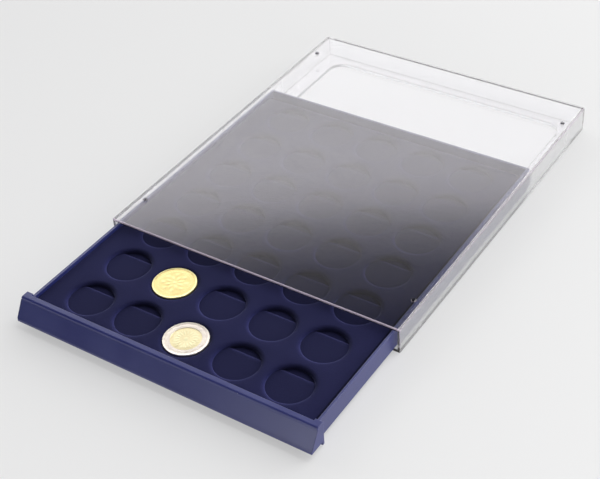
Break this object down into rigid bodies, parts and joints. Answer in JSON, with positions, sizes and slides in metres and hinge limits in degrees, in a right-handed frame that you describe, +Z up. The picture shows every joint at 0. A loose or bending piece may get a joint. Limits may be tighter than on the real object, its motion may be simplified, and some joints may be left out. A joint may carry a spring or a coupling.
{
  "type": "coin collector cabinet",
  "caption": "Flat stackable coin cabinet: clear housing, sliding drawer with slanted grip, flocked tray of round press-to-tip recesses, coins.",
  "frame": {"origin": "under the middle of the whole object with the drawer 90 mm out, on the surface it stands on", "axes": "+Y from the drawer front to the back wall, +X to the right seen from the front, +Z up"},
  "size_m": [0.236, 0.396, 0.0208],
  "materials": {
    "clear_housing": "clear, glossy moulded polystyrene",
    "drawer_plastic": "satin blue moulded plastic",
    "tray_flock": "formed sheet covered in dark blue flock",
    "coin_gold": "bright struck gold-coloured alloy",
    "coin_silver": "bright struck silver-coloured alloy",
    "coin_core_gold": "bright struck gold-coloured alloy"
  },
  "bodies": {
    "housing": {"housing": "clear_housing"},
    "drawer": {"drawer": "drawer_plastic", "coin_tray": "tray_flock"},
    "gold_coin": {"gold_coin": "coin_gold"},
    "bimetal_coin": {"bimetal_coin_ring": "coin_silver", "bimetal_coin_core": "coin_core_gold"}
  },
  "joints": [
    {"name": "drawer_slide", "type": "slide", "parent": "housing", "child": "drawer", "axis": [0, -1, 0], "range_m": [-0.0897, 0.16]},
    {"name": "gold_coin_tip", "type": "hinge", "parent": "drawer", "child": "gold_coin", "pos_m": [-0.04, -0.1145, 0.0125], "axis": [-1, 0, 0], "range_deg": [0, 6]},
    {"name": "bimetal_coin_tip", "type": "hinge", "parent": "drawer", "child": "bimetal_coin", "pos_m": [0, -0.1547, 0.0125], "axis": [-1, 0, 0], "range_deg": [0, 6]}
  ]
}
